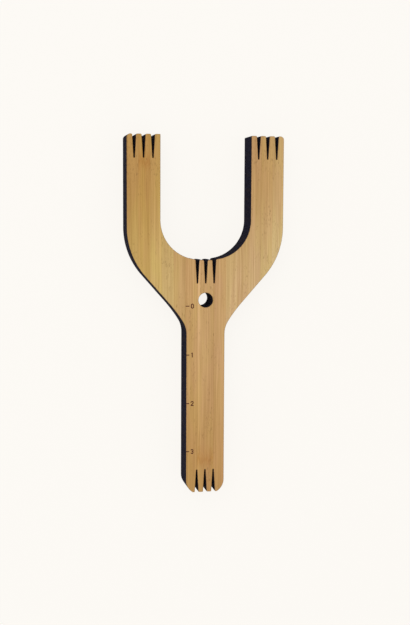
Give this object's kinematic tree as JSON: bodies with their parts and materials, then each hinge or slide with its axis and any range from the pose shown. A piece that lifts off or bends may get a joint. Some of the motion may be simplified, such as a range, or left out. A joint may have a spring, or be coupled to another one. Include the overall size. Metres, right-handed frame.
{
  "type": "pom pom maker",
  "caption": "Flat Y-shaped laminated bamboo hand tool for making pom-poms and tassels, with notched arm tips, a round-bottomed opening, a through hole and a ruler on its handle.",
  "frame": {"origin": "centre of the outline's bounding box, on the back face", "axes": "+Z through the board and out of the engraved front face, +Y from the handle's end to the arm tips, +X to the right seen from the front"},
  "size_m": [0.0818, 0.1854, 0.0159],
  "materials": {
    "bamboo_tan": "bare sanded bamboo, satin",
    "bamboo_pale": "bare sanded bamboo, satin",
    "bamboo_golden": "bare sanded bamboo, satin",
    "char": "laser-charred side walls, matt, finely ribbed"
  },
  "bodies": {
    "root": {"core_strip": "bamboo_tan", "left_handle_strip": "bamboo_tan", "right_handle_strip": "bamboo_tan", "left_neck_strip": "bamboo_pale", "right_neck_strip": "bamboo_pale", "left_shoulder_strip": "bamboo_pale", "right_shoulder_strip": "bamboo_pale", "left_arm_inner_strip": "bamboo_tan", "right_arm_inner_strip": "bamboo_tan", "left_arm_middle_strip": "bamboo_golden", "right_arm_middle_strip": "bamboo_tan", "left_arm_outer_strip": "bamboo_golden", "right_arm_outer_strip": "bamboo_pale"}
  },
  "joints": []
}
